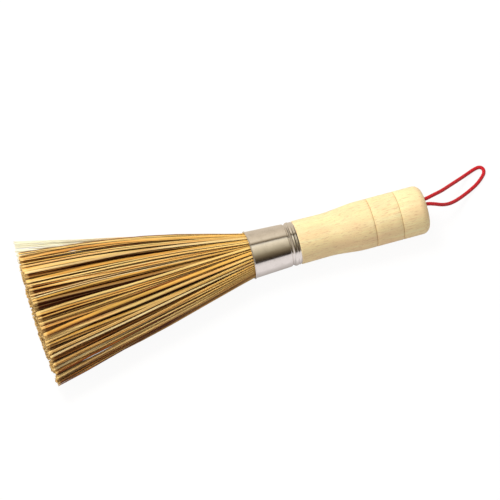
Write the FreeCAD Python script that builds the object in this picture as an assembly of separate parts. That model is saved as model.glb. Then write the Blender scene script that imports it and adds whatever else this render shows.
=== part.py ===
import FreeCAD, Part
import math
import os
import random

# Bamboo wok brush, lying on its side on a flat surface.
# The brush axis runs along X, with the bamboo tips at -X and the handle's butt at +X.
# The fan of bamboo spreads along Y, Z is up, and Z = 0 is the surface that it lies on.
# X = 0 is midway between the tips and the butt. All sizes are in millimetres.

# Lengths along the axis
handle_visible_length = 89.0
ferrule_length = 32.8
bristle_length = 148.2

# Handle, turned from one piece of wood
grip_diameter = 32.6
waist_diameter = 28.8
collar_diameter = 29.3
waist_distance = 20.0
swell_length = 45.0
collar_rounding = 0.7
butt_rounding = 5.2
tenon_length = 12.0
groove_distances = (18.9, 37.5)
groove_width = 0.9
groove_depth = 0.5

# Ferrule, a conical sleeve of thin sheet
ferrule_sheet = 0.4
mouth_diameter = 31.6
neck_diameter = 28.2
mouth_roll_diameter = 0.9
ring_distance = 0.4
ring_width = 1.5
ring_height = 0.3
bead_width = 2.8
bead_height = 0.45
channel_width = 1.8
channel_depth = 0.7

# Bamboo splits, flat strips that fill the ferrule and fan out to the tips
split_thicknesses = (0.78, 1.0)
split_widths = (1.3, 2.6)
tip_taper = 0.94
fan_width = 111.0
fan_thickness = 32.6
mouth_spring = 2.0
bend_place = 0.45
tip_arc = 3.6
tip_raggedness = 1.6
parting_side = -2.0
parting_push = 7.0
parting_depth = 9.0
side_stray = 2.4
height_stray = 1.1
stray_rounds = 30
split_seed = 11

# Hanging loop, a thin cord whose two ends sit side by side in a blind hole in the butt
cord_diameter = 2.5
strand_gap = 0.6
strand_in_hole = 5.5
cord_hole_side = 3.0
cord_hole_height = 3.5
cord_hole_easing = 0.4

# Fits
tenon_clearance = 0.05
shoulder_clearance = 0.05
bundle_clearance = 0.1
root_clearance = 0.2
split_gap = 0.12
cord_clearance = 0.2
hole_end_clearance = 2.5

# Places that follow from the sizes above
total_length = bristle_length + ferrule_length + handle_visible_length
butt_x = total_length / 2
shoulder_x = butt_x - handle_visible_length
mouth_x = shoulder_x - ferrule_length
tips_x = mouth_x - bristle_length
root_x = shoulder_x - tenon_length - root_clearance
roll_outer_radius = mouth_diameter / 2 - ferrule_sheet + mouth_roll_diameter
axis_height = max(grip_diameter / 2, fan_thickness / 2, roll_outer_radius)
bead_distance = ring_distance + ring_width
channel_distance = bead_distance + bead_width
strand_spacing = cord_diameter + strand_gap
cord_hole_radius = (strand_spacing + cord_diameter) / 2 + cord_clearance
cord_hole_depth = strand_in_hole + hole_end_clearance

# Stations where a split may turn: its root, the mouth, the bend and the tips
station_xs = (root_x, mouth_x, mouth_x - bristle_length * bend_place, tips_x)
station_shares = (0.0, 0.0, bend_place, 1.0)
mouth_station, bend_station, tip_station = 1, 2, 3


def on_profile(x, radius):
    """A point of a turned profile: a place along the axis and a radius about it."""
    return FreeCAD.Vector(x, 0, axis_height + radius)


def turned(edges):
    """The solid that a closed profile sweeps about the brush axis."""
    axis_point = FreeCAD.Vector(0, 0, axis_height)
    return Part.Face(Part.Wire(edges)).revolve(axis_point, FreeCAD.Vector(1, 0, 0), 360)


def straight(start, end):
    return Part.LineSegment(start, end).toShape()


def curved(start, middle, end):
    return Part.Arc(start, middle, end).toShape()


def quarter_round(start, end, centre):
    """A quarter circle between two points that lie square to each other about the centre."""
    halfway = start + end - centre * 2
    halfway.normalize()
    return curved(start, centre + halfway * (end - centre).Length, end)


def cone_radius(distance):
    """The ferrule's outer radius, at a distance from its handle edge towards its mouth."""
    share = distance / ferrule_length
    return neck_diameter / 2 + (mouth_diameter - neck_diameter) / 2 * share


def ridge(distance, width, height, inset):
    """An arc across the ferrule wall, raised by height, or sunk where height is negative."""
    near = on_profile(shoulder_x - distance, cone_radius(distance) - inset)
    far = on_profile(shoulder_x - distance - width, cone_radius(distance + width) - inset)
    crest = (near + far) * 0.5 + FreeCAD.Vector(0, 0, height)
    return curved(far, crest, near)


def ferrule_line(inset):
    """The ferrule's long profile from mouth to handle edge, moved in by inset."""
    lip = on_profile(mouth_x, cone_radius(ferrule_length) - inset)
    edge = on_profile(shoulder_x - shoulder_clearance, cone_radius(0) - inset)
    channel = ridge(channel_distance, channel_width, -channel_depth, inset)
    bead = ridge(bead_distance, bead_width, bead_height, inset)
    ring = ridge(ring_distance, ring_width, ring_height, inset)
    first = straight(lip, channel.firstVertex().Point)
    last = straight(ring.lastVertex().Point, edge)
    return [first, channel, bead, ring, last]


def make_ferrule():
    """The sheet sleeve with its crimped channel, bead and ring, and a rolled lip at the mouth."""
    outer = ferrule_line(0)
    inner = ferrule_line(ferrule_sheet)
    mouth_end = straight(inner[0].firstVertex().Point, outer[0].firstVertex().Point)
    edge_end = straight(outer[-1].lastVertex().Point, inner[-1].lastVertex().Point)
    sleeve = turned(outer + [edge_end] + inner[::-1] + [mouth_end])
    roll_radius = mouth_roll_diameter / 2
    centre = on_profile(mouth_x + roll_radius, roll_outer_radius - roll_radius)
    circle = Part.Circle(centre, FreeCAD.Vector(0, 1, 0), roll_radius)
    return sleeve.fuse(turned([circle.toShape()])).removeSplitter()


def grip_curve():
    """The smooth swell from the collar over the waist to the full width of the grip."""
    points = [
        on_profile(shoulder_x + collar_rounding, collar_diameter / 2),
        on_profile(shoulder_x + waist_distance, waist_diameter / 2),
        on_profile(shoulder_x + swell_length, grip_diameter / 2),
    ]
    level = FreeCAD.Vector(1, 0, 0)
    curve = Part.BSplineCurve()
    curve.interpolate(Points=points, Tangents=[level] * 3, TangentFlags=[True] * 3)
    return curve.toShape()


def tenon_edges():
    """The tenon that fills the ferrule's neck, with a groove under the crimped channel."""
    fit = ferrule_sheet + tenon_clearance
    end_x = shoulder_x - tenon_length
    end_edge = on_profile(end_x, cone_radius(tenon_length) - fit)
    bite = ridge(channel_distance, channel_width, -channel_depth, fit)
    root_edge = on_profile(shoulder_x, cone_radius(0) - fit)
    collar_low = on_profile(shoulder_x, collar_diameter / 2 - collar_rounding)
    return [
        straight(on_profile(end_x, 0), end_edge),
        straight(end_edge, bite.firstVertex().Point),
        bite,
        straight(bite.lastVertex().Point, root_edge),
        straight(root_edge, collar_low),
    ]


def grip_edges():
    """The grip's straight stretch with its fine grooves, from the swell to the rounded butt."""
    radius = grip_diameter / 2
    edges = []
    here = on_profile(shoulder_x + swell_length, radius)
    for distance in sorted(groove_distances, reverse=True):
        middle_x = butt_x - distance
        before = on_profile(middle_x - groove_width / 2, radius)
        bottom = on_profile(middle_x, radius - groove_depth)
        after = on_profile(middle_x + groove_width / 2, radius)
        edges += [straight(here, before), straight(before, bottom), straight(bottom, after)]
        here = after
    edges.append(straight(here, on_profile(butt_x - butt_rounding, radius)))
    return edges


def make_handle():
    """The turned handle, drilled off centre in the butt for the two ends of the cord."""
    collar_centre = on_profile(shoulder_x + collar_rounding, collar_diameter / 2 - collar_rounding)
    collar_low = collar_centre - FreeCAD.Vector(collar_rounding, 0, 0)
    collar_high = collar_centre + FreeCAD.Vector(0, 0, collar_rounding)
    butt_centre = on_profile(butt_x - butt_rounding, grip_diameter / 2 - butt_rounding)
    butt_high = butt_centre + FreeCAD.Vector(0, 0, butt_rounding)
    butt_low = butt_centre + FreeCAD.Vector(butt_rounding, 0, 0)
    tenon = tenon_edges()
    collar = quarter_round(collar_low, collar_high, collar_centre)
    butt = quarter_round(butt_high, butt_low, butt_centre)
    face = straight(butt_low, on_profile(butt_x, 0))
    axis = straight(on_profile(butt_x, 0), tenon[0].firstVertex().Point)
    body = turned(tenon + [collar, grip_curve()] + grip_edges() + [butt, face, axis])

    outward = FreeCAD.Vector(1, 0, 0)
    rim = FreeCAD.Vector(butt_x, cord_hole_side, axis_height + cord_hole_height)
    bore = Part.makeCylinder(cord_hole_radius, 2 * cord_hole_depth, rim - outward * cord_hole_depth, outward)
    wide = cord_hole_radius + 2 * cord_hole_easing
    easing = Part.makeCone(
        cord_hole_radius, wide, 2 * cord_hole_easing, rim - outward * cord_hole_easing, outward
    )
    return body.cut(bore.fuse(easing))


class Split:
    """One strip of bamboo, with the place of its middle, side and height, at each station."""

    def __init__(self, row, width, thickness):
        self.row = row
        self.width = width
        self.thickness = thickness
        self.places = []
        self.end_x = tips_x
        self.held = False

    def sizes(self, station):
        """Its width and thickness at a station: it thins a little from the mouth to the tips."""
        taper = 1 - (1 - tip_taper) * station_shares[station]
        return self.width * taper, self.thickness * taper


def bundle_radius(distance):
    """The radius that is free for the splits inside the ferrule."""
    return cone_radius(distance) - ferrule_sheet - bundle_clearance


def fill_row(row, half_width, source):
    """Splits of random size, side by side until the row is full, each with its side place."""
    splits = []
    used = 0.0
    while True:
        width = source.uniform(*split_widths)
        if used + width > 2 * half_width:
            break
        splits.append(Split(row, width, source.uniform(*split_thicknesses)))
        used += width + split_gap
    spare = 2 * half_width - (used - split_gap)
    step = split_gap + spare / max(1, len(splits) - 1)
    side = -half_width
    sides = []
    for split in splits:
        sides.append(side + split.width / 2)
        side += split.width + step
    if len(splits) == 1:
        sides = [0.0]
    return splits, sides


def parting_shift(side, height_share, mouth_radius):
    """How far the upper splits draw apart, at the tips, on each side of the gap in the fan."""
    below_top = (1 - height_share) * fan_thickness / 2
    strength = parting_push * max(0.0, 1 - below_top / parting_depth)
    if side > parting_side:
        return strength * (mouth_radius - side) / (mouth_radius - parting_side)
    return -0.3 * strength * (mouth_radius + side) / (mouth_radius + parting_side)


def lay_splits():
    """Rows of splits that fill the round ferrule and fan out to the flat, wide tips."""
    source = random.Random(split_seed)
    thickest = split_thicknesses[1]
    pitch = thickest + split_gap
    root_radius = bundle_radius(tenon_length + root_clearance)
    mouth_radius = bundle_radius(ferrule_length)
    packed_radius = min(root_radius, mouth_radius)
    row_count = int(2 * packed_radius / pitch)
    top_level = (row_count - 1) / 2 * pitch
    mouth_scale = mouth_radius / packed_radius
    half_split = sum(split_widths) / 4
    tip_spread = (fan_width / 2 - half_split) / (mouth_radius - half_split)
    tip_rise = (fan_thickness - thickest) / 2 / top_level

    splits = []
    for row in range(row_count):
        level = row * pitch - top_level
        outer_face = abs(level) + thickest / 2
        half_width = math.sqrt(packed_radius ** 2 - outer_face ** 2)
        for split, side in zip(*fill_row(row, half_width, source)):
            root_scale = root_radius / packed_radius
            split.places = [(side * root_scale, level * root_scale)]
            side *= mouth_scale
            split.places.append((side, level * mouth_scale))
            shift = parting_shift(side, level / top_level, mouth_radius)
            outward = side / mouth_radius
            for share in (bend_place, 1.0):
                spread = 1 + (tip_spread - 1) * share
                spring = mouth_spring * (1 - share) * outward
                rise = mouth_scale + (tip_rise - mouth_scale) * share
                split.places.append((side * spread + spring + shift * share, level * rise))
            split.held = row == 0
            splits.append(split)

    min(splits, key=tip_side).held = True
    max(splits, key=tip_side).held = True
    for split in splits:
        arc = tip_arc * (tip_side(split) / (fan_width / 2)) ** 2
        ragged = tip_raggedness * source.random() ** 2
        split.end_x = tips_x + arc + (0 if split.held else ragged)
    return splits


def tip_side(split):
    return split.places[tip_station][0]


def stay_apart(one, other, first, last):
    """Whether two splits keep to the two sides of one flat gap from one station to the next."""
    for direction in (0, 1):
        distances = []
        for station in (first, last):
            need = (one.sizes(station)[direction] + other.sizes(station)[direction] + split_gap) / 2
            distance = one.places[station][direction] - other.places[station][direction]
            if abs(distance) < need:
                break
            distances.append(distance)
        if len(distances) == 2 and distances[0] * distances[1] > 0:
            return True
    return False


def has_room(split, neighbours, station):
    """Whether a moved split is still clear of its neighbours on both sides of the station."""
    spans = [(bend_station, tip_station)]
    if station == bend_station:
        spans.append((mouth_station, bend_station))
    for other in neighbours:
        for first, last in spans:
            if other is not split and not stay_apart(split, other, first, last):
                return False
    return True


def in_reach(split, home, station):
    """Whether a moved split is still near its own place and inside the fan's outline."""
    side, height = split.places[station]
    width, thickness = split.sizes(station)
    if abs(side) + width / 2 > fan_width / 2 or abs(height) + thickness / 2 > fan_thickness / 2:
        return False
    share = station_shares[station]
    return abs(side - home[0]) < side_stray * share and abs(height - home[1]) < height_stray * share


def let_stray(splits):
    """Small random moves of the bends and tips, each kept only where the split stays clear."""
    source = random.Random(split_seed + 1)
    pitch = split_thicknesses[1] + split_gap
    rows_in_reach = math.ceil((2 * height_stray + pitch) / pitch)
    loose = [(split, list(split.places)) for split in splits if not split.held]
    near = {}
    for split, home in loose:
        near[split] = [other for other in splits if abs(other.row - split.row) <= rows_in_reach]
    for sweep in range(stray_rounds):
        for split, home in loose:
            station = source.choice((bend_station, tip_station))
            step = station_shares[station] / 3
            before = split.places[station]
            side = before[0] + source.gauss(0, side_stray * step)
            height = before[1] + source.gauss(0, height_stray * step)
            split.places[station] = (side, height)
            kept = in_reach(split, home[station], station) and has_room(split, near[split], station)
            if not kept:
                split.places[station] = before


def section_corners(x, place, size):
    """The four corners of a split's flat cross-section."""
    side, height = place
    half_width, half_thickness = size[0] / 2, size[1] / 2
    corners = []
    for across, up in ((-1, -1), (1, -1), (1, 1), (-1, 1)):
        y = side + across * half_width
        z = axis_height + height + up * half_thickness
        corners.append(FreeCAD.Vector(x, y, z))
    return corners


def split_sections(split):
    """A split's corners at each station, the last run of them ending at its own cut."""
    sections = []
    for station, x in enumerate(station_xs):
        sections.append(section_corners(x, split.places[station], split.sizes(station)))
    bend_x = station_xs[bend_station]
    kept = (split.end_x - bend_x) / (tips_x - bend_x)
    for index, corner in enumerate(sections[tip_station]):
        start = sections[bend_station][index]
        sections[tip_station][index] = start + (corner - start) * kept
    return sections


def flat_face(corners):
    return Part.Face(Part.makePolygon(corners + corners[:1]))


def make_split(split):
    """The solid of one split: flat faces from section to section, closed at both ends."""
    sections = split_sections(split)
    faces = [flat_face(sections[0]), flat_face(sections[tip_station])]
    for near, far in zip(sections, sections[1:]):
        for index in range(4):
            after = (index + 1) % 4
            faces.append(flat_face([near[index], near[after], far[after], far[index]]))
    solid = Part.makeSolid(Part.makeShell(faces))
    if solid.Volume < 0:
        solid.reverse()
    return solid


def loop_points():
    """The cord's route: out of the hole, down to the surface, round the far fold and back."""
    hole_height = axis_height + cord_hole_height
    near_side = cord_hole_side - strand_spacing / 2
    far_side = cord_hole_side + strand_spacing / 2
    lying = cord_diameter / 2
    past_rim = 1.2
    route = [
        (-strand_in_hole, far_side, hole_height),
        (past_rim, far_side, hole_height),
        (8.6, 7.0, 18.4),
        (15.0, 9.8, 15.2),
        (22.9, 14.8, 10.2),
        (30.7, 19.5, 5.6),
        (37.8, 23.6, 2.1),
        (43.5, 26.2, lying),
        (48.0, 27.2, lying),
        (50.2, 25.2, lying),
        (50.0, 22.1, lying),
        (47.4, 19.0, lying),
        (42.3, 14.8, lying),
        (34.7, 10.4, 2.4),
        (26.3, 5.5, 5.6),
        (18.8, 1.6, 10.0),
        (12.7, 0.1, 14.2),
        (7.7, 0.4, 17.7),
        (past_rim, near_side, hole_height),
        (-strand_in_hole, near_side, hole_height),
    ]
    return [FreeCAD.Vector(butt_x + x, y, z) for x, y, z in route]


def make_cord():
    """A round tube along straight runs joined by arcs as large as the runs allow."""
    points = loop_points()
    edges = []
    radii = []
    here = points[0]
    for before, point, after in zip(points, points[1:], points[2:]):
        back = before - point
        ahead = after - point
        reach = 0.45 * min(back.Length, ahead.Length)
        half_turn = (math.pi - back.getAngle(ahead)) / 2
        radius = reach / math.tan(half_turn)
        radii.append(round(radius, 1))
        back.normalize()
        ahead.normalize()
        inward = back + ahead
        inward.normalize()
        middle = point + inward * (radius / math.cos(half_turn) - radius)
        start = point + back * reach
        end = point + ahead * reach
        edges += [straight(here, start), curved(start, middle, end)]
        here = end
    edges.append(straight(here, points[-1]))
    path = Part.Wire(edges)
    circle = Part.Circle(points[0], points[1] - points[0], cord_diameter / 2)
    tube = path.makePipeShell([Part.Wire(circle.toShape())], True, True)
    full_volume = math.pi * cord_diameter ** 2 / 4 * path.Length
    print("cord arc radii", radii)
    print("cord length", round(path.Length, 1), "volume share", round(tube.Volume / full_volume, 4))
    return tube


def save(shape, name):
    shape.exportStep("parts/" + name + ".step")
    print(name, "valid" if shape.isValid() else "NOT VALID", len(shape.Solids), "solids")


def main():
    os.makedirs("parts", exist_ok=True)
    save(make_handle(), "handle")
    save(make_ferrule(), "ferrule")
    save(make_cord(), "hanging_loop")
    splits = lay_splits()
    let_stray(splits)
    for row in range(splits[-1].row + 1):
        solids = [make_split(split) for split in splits if split.row == row]
        save(Part.makeCompound(solids), "splits_row_%02d" % (row + 1))
    print(len(splits), "splits")


main()
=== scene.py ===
"""Looks for a bamboo wok brush: turned handle, steel ferrule, fan of splits and a red hanging loop.

Lengths are in metres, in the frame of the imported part: the brush lies along X with its tips at -X,
Z is up and Z = 0 is the surface that it lies on.
"""
import logging
import math
import random
from dataclasses import dataclass, field, replace
from enum import Enum
from typing import Callable, Optional, Sequence, Union

import bmesh
import bpy
from bmesh.types import BMEdge, BMesh, BMVert
from bpy.types import ID, Material, Mesh, Node, NodeSocket, NodeTree, Object
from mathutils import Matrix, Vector


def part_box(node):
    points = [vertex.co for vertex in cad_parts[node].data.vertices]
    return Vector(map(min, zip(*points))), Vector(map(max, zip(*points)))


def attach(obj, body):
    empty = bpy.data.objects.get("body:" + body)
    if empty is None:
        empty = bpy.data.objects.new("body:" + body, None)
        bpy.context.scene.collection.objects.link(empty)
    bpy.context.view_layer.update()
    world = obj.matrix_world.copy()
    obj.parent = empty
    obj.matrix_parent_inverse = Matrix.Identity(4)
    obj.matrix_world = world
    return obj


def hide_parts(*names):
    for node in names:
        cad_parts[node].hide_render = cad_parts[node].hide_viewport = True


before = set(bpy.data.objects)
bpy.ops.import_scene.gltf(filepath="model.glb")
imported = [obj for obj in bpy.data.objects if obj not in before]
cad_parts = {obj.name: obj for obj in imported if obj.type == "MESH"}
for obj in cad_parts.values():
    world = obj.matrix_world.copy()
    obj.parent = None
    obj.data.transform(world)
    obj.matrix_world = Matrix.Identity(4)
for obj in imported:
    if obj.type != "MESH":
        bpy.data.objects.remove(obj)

log = logging.getLogger("wok_brush")

MM = 0.001
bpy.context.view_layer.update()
HANDLE_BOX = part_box("handle")
FERRULE_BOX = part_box("ferrule")
AXIS_HEIGHT = (HANDLE_BOX[0].z + HANDLE_BOX[1].z) / 2
BUTT_X = HANDLE_BOX[1].x
TENON_X = HANDLE_BOX[0].x
MOUTH_X = FERRULE_BOX[0].x
SPLIT_NODES = sorted(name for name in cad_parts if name.startswith("splits_row"))
TIPS_X = min(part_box(name)[0].x for name in SPLIT_NODES)
ALONG = Vector((1, 0, 0))
AROUND_STEPS = 160


class Slot(Enum):
    """The record's material slots."""

    WOOD = "pale_wood"
    STEEL = "ferrule_steel"
    BAMBOO = "bamboo"
    CORD = "red_cord"


Triple = tuple[float, float, float]
Colour = Triple
Stops = Sequence[tuple[float, Colour]]
Operand = Union["Value", float, int]


def linear(red: int, green: int, blue: int) -> Colour:
    """Turns a display colour, each part from 0 to 255, into linear light from 0 to 1."""
    shares = [channel / 255 for channel in (red, green, blue)]
    return tuple(s / 12.92 if s <= 0.04045 else ((s + 0.055) / 1.055) ** 2.4 for s in shares)


class Value:
    """A number socket that Python's operators work on, each of them adding a Math node."""

    def __init__(self, bench: "NodeBench", socket: NodeSocket) -> None:
        """Wraps a socket of a node tree."""
        self.bench = bench
        self.socket = socket

    def _math(self, operation: str, *operands: Operand, clamp: bool = False) -> "Value":
        """Adds a Math node on wrapped sockets or numbers, and wraps its result."""
        settings = {"operation": operation, "use_clamp": clamp}
        return self.bench.value(self.bench.add("ShaderNodeMath", settings, dict(enumerate(operands))))

    def __add__(self, other: Operand) -> "Value":
        """Adds."""
        return self._math("ADD", self, other)

    def __sub__(self, other: Operand) -> "Value":
        """Subtracts."""
        return self._math("SUBTRACT", self, other)

    def __rsub__(self, other: Operand) -> "Value":
        """Subtracts this from a number."""
        return self._math("SUBTRACT", other, self)

    def __mul__(self, other: Operand) -> "Value":
        """Multiplies."""
        return self._math("MULTIPLY", self, other)

    def __truediv__(self, other: Operand) -> "Value":
        """Divides."""
        return self._math("DIVIDE", self, other)

    __radd__ = __add__
    __rmul__ = __mul__

    def clamped(self) -> "Value":
        """Keeps it from 0 to 1."""
        return self._math("ADD", self, 0.0, clamp=True)

    def from_to(self, start: float, run: float) -> "Value":
        """A mask that goes from 0 at one value to 1 a run further on."""
        return ((self - start) / run).clamped()


@dataclass(frozen=True)
class Pattern:
    """A noise pattern: how the place is scaled for it, and the mask that is made from it.

    The mask rises about a level, over twice the softness, up to a strength.
    """

    scale: Triple
    detail: float = 2.0
    distortion: float = 0.0
    level: float = 0.5
    softness: float = 0.1
    strength: float = 1.0

    def mask(self, noise: Value) -> Value:
        """Where the pattern shows, from 0 to its strength."""
        return noise.from_to(self.level - self.softness, 2 * self.softness) * self.strength


class NodeBench:
    """A node tree, with one method that adds any node to it."""

    def __init__(self, tree: NodeTree) -> None:
        """Takes a material's or a world's node tree."""
        self.tree = tree

    def add(
        self,
        kind: str,
        settings: Optional[dict[str, object]] = None,
        values: Optional[dict[Union[str, int], object]] = None,
    ) -> Node:
        """Adds a node.

        Args:
            kind: The node's type.
            settings: Its settings, set first; "stops" fills a colour ramp.
            values: Its inputs, by name or number: numbers, tuples, sockets or wrapped sockets.

        Returns:
            The node.
        """
        node = self.tree.nodes.new(kind)
        for name, setting in (settings or {}).items():
            if name == "stops":
                self._fill_ramp(node, setting)
            else:
                setattr(node, name, setting)
        for name, value in (values or {}).items():
            self.feed(node.inputs[name], value)
        return node

    def feed(self, socket: NodeSocket, value: object) -> None:
        """Links a socket, or sets its value.

        Args:
            socket: The input socket.
            value: A wrapped socket, a socket, a number or a tuple.
        """
        if isinstance(value, Value):
            value = value.socket
        if isinstance(value, NodeSocket):
            self.tree.links.new(value, socket)
        elif isinstance(value, tuple) and socket.type == "RGBA" and len(value) == 3:
            socket.default_value = (*value, 1.0)
        else:
            socket.default_value = value

    @staticmethod
    def _fill_ramp(node: Node, stops: Stops) -> None:
        """Gives a colour ramp its stops.

        Args:
            node: The ramp's node.
            stops: The stops, each a place and a colour.
        """
        elements = node.color_ramp.elements
        while len(elements) < len(stops):
            elements.new(0.5)
        for element, (place, colour) in zip(elements, stops):
            element.position = place
            element.color = (*colour, 1.0)

    def value(self, node: Node, output: Union[str, int] = 0) -> Value:
        """Wraps one of a node's outputs."""
        return Value(self, node.outputs[output])

    def ramp(self, factor: Value, stops: Stops) -> NodeSocket:
        """Colours along a ramp, by a factor."""
        return self.add("ShaderNodeValToRGB", {"stops": stops}, {0: factor}).outputs[0]

    def noise(self, vector: NodeSocket, pattern: Pattern) -> Value:
        """A pattern's smooth noise about one half, on a vector.

        Args:
            vector: The place that it is read at.
            pattern: The pattern.

        Returns:
            The noise.
        """
        scaled = self.add("ShaderNodeMapping", None, {"Vector": vector, "Scale": pattern.scale})
        values = {"Vector": scaled.outputs[0], "Scale": 1.0}
        values |= {"Detail": pattern.detail, "Distortion": pattern.distortion}
        return self.value(self.add("ShaderNodeTexNoise", None, values))

    def mask(self, vector: NodeSocket, pattern: Pattern) -> Value:
        """A pattern's mask on a vector."""
        return pattern.mask(self.noise(vector, pattern))

    def mix(self, factor: Operand, first: object, second: object) -> NodeSocket:
        """Mixes two colours by a factor, which is how much of the second shows."""
        node = self.add("ShaderNodeMix", {"data_type": "RGBA"}, {0: factor, 6: first, 7: second})
        return node.outputs[2]

    def layered(self, colour: object, *layers: tuple[Operand, object]) -> NodeSocket:
        """Lays colours over one, each by its own mask.

        Args:
            colour: The colour underneath.
            layers: Each further layer's mask and colour, the lowest first.

        Returns:
            The colour that shows.
        """
        for mask, over in layers:
            colour = self.mix(mask, colour, over)
        return colour

    def object_place(self) -> NodeSocket:
        """The place on the object, in metres."""
        return self.add("ShaderNodeTexCoord").outputs["Object"]

    def parts(self, vector: NodeSocket) -> list[Value]:
        """The three parts of a vector."""
        node = self.add("ShaderNodeSeparateXYZ", None, {0: vector})
        return [self.value(node, index) for index in range(3)]

    def own_uv(self) -> NodeSocket:
        """The piece's own UV map."""
        return self.add("ShaderNodeUVMap", {"uv_map": "UVMap"}).outputs[0]

    def attribute(self, name: str) -> Value:
        """A number that the mesh keeps on its faces or points."""
        return self.value(self.add("ShaderNodeAttribute", {"attribute_name": name}), "Fac")


class Shader(NodeBench):
    """A material with a Principled surface."""

    def __init__(self, name: str, **base_values: object) -> None:
        """Makes the material.

        Args:
            name: The material's name.
            base_values: Values that are the same all over the surface, by the socket's name with
                its spaces as underscores.
        """
        self.material: Material = bpy.data.materials.new(name)
        self.material.use_nodes = True
        super().__init__(self.material.node_tree)
        self.surface: Node = self.tree.nodes["Principled BSDF"]
        for socket_name, value in base_values.items():
            self.feed(self.surface.inputs[socket_name.replace("_", " ")], value)

    def finish(self, colour: NodeSocket, roughness: Optional[Value] = None) -> None:
        """Feeds the surface's colour and roughness.

        Args:
            colour: The colour's socket.
            roughness: The roughness, where it varies.
        """
        self.feed(self.surface.inputs["Base Color"], colour)
        if roughness:
            self.feed(self.surface.inputs["Roughness"], roughness)

    def bump(self, height: Value, distance: float, strength: float) -> None:
        """Raises the surface's normal by a height, over a distance in metres."""
        values = {"Height": height, "Distance": distance, "Strength": strength}
        self.feed(self.surface.inputs["Normal"], self.add("ShaderNodeBump", None, values).outputs[0])


@dataclass(frozen=True)
class PaleWood:
    """Bare turned wood, cream to tan, with faint lengthwise grain and pores, and painted shade in its
    fine grooves.
    """

    cream: Colour = linear(255, 245, 192)
    tan: Colour = linear(255, 232, 174)
    blush: Colour = linear(246, 206, 160)
    pore: Colour = linear(204, 150, 100)
    # the colour of the painted shade in the fine grooves
    groove: Colour = linear(176, 132, 84)
    groove_shade_strength: float = 0.45
    warp: Pattern = Pattern((9.0, 60.0, 60.0))
    bands: Pattern = Pattern((16.0, 240.0, 240.0), 3.0, 0.6)
    band_share: float = 0.7
    patches: Pattern = Pattern((45.0, 95.0, 95.0), level=0.52, softness=0.14, strength=0.55)
    fine: Pattern = Pattern((110.0, 2600.0, 2600.0), level=0.56, softness=0.2, strength=0.3)
    pores: Pattern = Pattern((420.0, 5200.0, 5200.0), 1.0, level=0.66, softness=0.05, strength=0.5)
    flecks: Pattern = Pattern((240.0, 1500.0, 1500.0), 1.0, level=0.64, softness=0.05, strength=0.4)
    roughness: float = 0.34
    fine_roughness: float = 0.18
    band_roughness: float = 0.08
    relief: float = 0.06 * MM

    def build(self) -> Material:
        """Makes the finish.

        Returns:
            The material.
        """
        shader = Shader("pale_wood", Coat_Weight=0.1, Coat_Roughness=0.3, Specular_IOR_Level=0.4)
        place = shader.object_place()
        bands, fine = shader.noise(place, self.bands), shader.noise(place, self.fine)
        pores = shader.mask(place, self.pores)
        grain = bands * self.band_share + shader.noise(place, self.warp) * (1 - self.band_share)
        colour = shader.layered(
            shader.ramp(grain.clamped(), [(0.34, self.cream), (0.52, self.tan), (0.66, self.cream)]),
            (shader.mask(place, self.patches), self.blush),
            (pores, self.pore),
            (shader.mask(place, self.flecks), self.pore),
            (self.fine.mask(fine), self.blush),
            # painted shade: the grooves darken with how deep each point lies in them
            (shader.attribute("groove") * self.groove_shade_strength, self.groove),
        )
        rough = fine * self.fine_roughness + bands * self.band_roughness + self.roughness
        shader.finish(colour, rough)
        shader.bump(fine * 0.6 - pores, self.relief, 0.5)
        return shader.material


@dataclass(frozen=True)
class FerruleSteel:
    """Thin bright sheet steel, drawn round the brush and faintly marked by handling."""

    metal: Colour = linear(236, 231, 226)
    dull: Colour = linear(196, 188, 180)
    rolling: Pattern = Pattern((2600.0, 60.0, 60.0))
    smears: Pattern = Pattern((120.0, 120.0, 120.0), 4.0, 0.4, level=0.62, softness=0.12, strength=0.3)
    specks: Pattern = Pattern((900.0, 900.0, 900.0), level=0.7, softness=0.06, strength=0.3)
    roughness: float = 0.09
    smear_roughness: float = 0.08
    rolling_roughness: float = 0.05
    dirt_roughness: float = 0.12
    relief: float = 0.02 * MM

    def build(self) -> Material:
        """Makes the finish.

        Returns:
            The material.
        """
        shader = Shader("ferrule_steel", Metallic=1.0)
        place = shader.object_place()
        rolling, smears = shader.noise(place, self.rolling), shader.noise(place, self.smears)
        dirt = (self.smears.mask(smears) + shader.mask(place, self.specks)).clamped()
        rough = smears * self.smear_roughness + rolling * self.rolling_roughness
        rough = rough + dirt * self.dirt_roughness + self.roughness
        shader.finish(shader.mix(dirt, self.metal, self.dull), rough)
        shader.bump(rolling * 0.5 + smears * 0.5, self.relief, 0.3)
        return shader.material


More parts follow.
